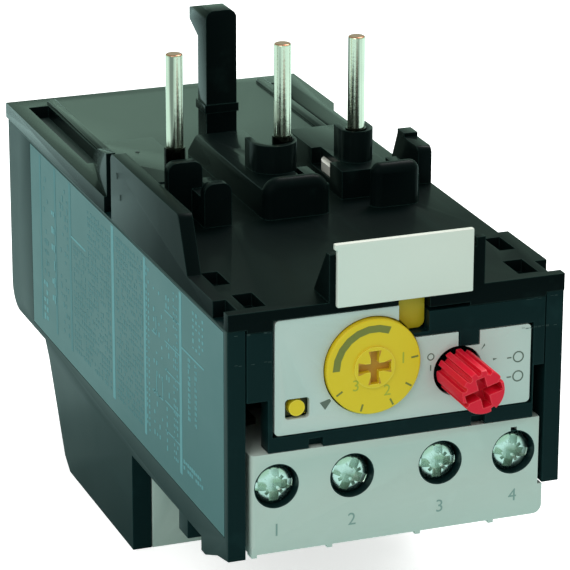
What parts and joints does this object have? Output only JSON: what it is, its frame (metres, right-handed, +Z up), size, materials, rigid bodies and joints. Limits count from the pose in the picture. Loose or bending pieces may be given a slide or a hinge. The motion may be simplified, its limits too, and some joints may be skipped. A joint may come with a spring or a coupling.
{
  "type": "thermal overload relay",
  "caption": "Three-phase thermal overload relay that plugs under a contactor by pins on its deck, with a setting dial, a reset knob, a test button and screw terminals.",
  "frame": {"origin": "middle of the bounding box in width and depth, on the plane of the foot's underside", "axes": "+X to the right and -Y towards the viewer as one faces the dial, +Z up along the phase pins"},
  "size_m": [0.045, 0.1046, 0.0685],
  "materials": {
    "black_plastic": "matt moulded black",
    "label_grey": "printed label",
    "pale_grey_plastic": "satin moulded pale grey",
    "white_plastic": "satin white",
    "yellow_plastic": "satin yellow",
    "red_plastic": "satin red",
    "zinc_steel": "zinc plated",
    "tinned_copper": "tinned, with bare ends",
    "copper": "bare",
    "bimetal": "rolled",
    "heater_wire": "drawn wire"
  },
  "bodies": {
    "base": {"aux_clamps": "zinc_steel", "aux_contacts": "copper", "aux_screws": "zinc_steel", "aux_terminal_block": "pale_grey_plastic", "bimetal_carrier": "black_plastic", "bimetal_strip_1": "bimetal", "bimetal_strip_2": "bimetal", "bimetal_strip_3": "bimetal", "compensation_strip": "bimetal", "front_frame": "black_plastic", "front_plate": "pale_grey_plastic", "heater_winding_1": "heater_wire", "heater_winding_2": "heater_wire", "heater_winding_3": "heater_wire", "line_straps": "copper", "load_clamps": "zinc_steel", "load_screws": "zinc_steel", "load_straps": "copper", "load_terminal_block": "pale_grey_plastic", "lower_housing": "black_plastic", "marker_tag": "white_plastic", "mechanism_chassis": "black_plastic", "phase_pin_1": "tinned_copper", "phase_pin_2": "tinned_copper", "phase_pin_3": "tinned_copper", "pin_bushes": "white_plastic", "reset_spring": "zinc_steel", "rocker_pin": "zinc_steel", "side_label": "label_grey", "test_spring": "zinc_steel", "top_cover": "black_plastic"},
    "dial": {"current_dial": "yellow_plastic", "dial_cam": "yellow_plastic"},
    "plunger": {"reset_plunger": "black_plastic"},
    "knob": {"reset_knob": "red_plastic"},
    "test": {"test_button": "yellow_plastic"},
    "flag": {"trip_flag": "yellow_plastic"},
    "slider": {"trip_slider": "white_plastic"},
    "rocker": {"contact_rocker": "black_plastic", "contact_bridges": "copper"}
  },
  "joints": [
    {"name": "dial_turn", "type": "hinge", "parent": "base", "child": "dial", "pos_m": [-0.00344, -0.04425, 0.0383], "axis": [0, 1, 0], "range_deg": [0, 156]},
    {"name": "reset_push", "type": "slide", "parent": "base", "child": "plunger", "axis": [0, 1, 0], "range_m": [0, 0.001], "stiffness_N_per_m": 1600, "springref_m": -0.001, "deforming": ["reset_spring"]},
    {"name": "mode_turn", "type": "hinge", "parent": "plunger", "child": "knob", "pos_m": [0.0082, -0.04425, 0.036], "axis": [0, 1, 0], "range_deg": [-45, 45]},
    {"name": "test_push", "type": "slide", "parent": "base", "child": "test", "axis": [0, 1, 0], "range_m": [0, 0.0015], "stiffness_N_per_m": 500, "springref_m": -0.001, "deforming": ["test_spring"]},
    {"name": "flag_out", "type": "slide", "parent": "base", "child": "flag", "axis": [0, -1, 0], "range_m": [0, 0.0012]},
    {"name": "slider_shift", "type": "slide", "parent": "base", "child": "slider", "axis": [-1, 0, 0], "range_m": [0, 0.0009], "stiffness_N_per_m": 300, "springref_m": -0.0002},
    {"name": "rocker_tip", "type": "hinge", "parent": "base", "child": "rocker", "pos_m": [0, -0.02545, 0.0327], "axis": [0, -1, 0], "range_deg": [0, 5.8]}
  ],
  "couplings": [
    {"joint": "rocker_tip", "follows": "slider_shift", "rad_per_m": 111.11}
  ]
}
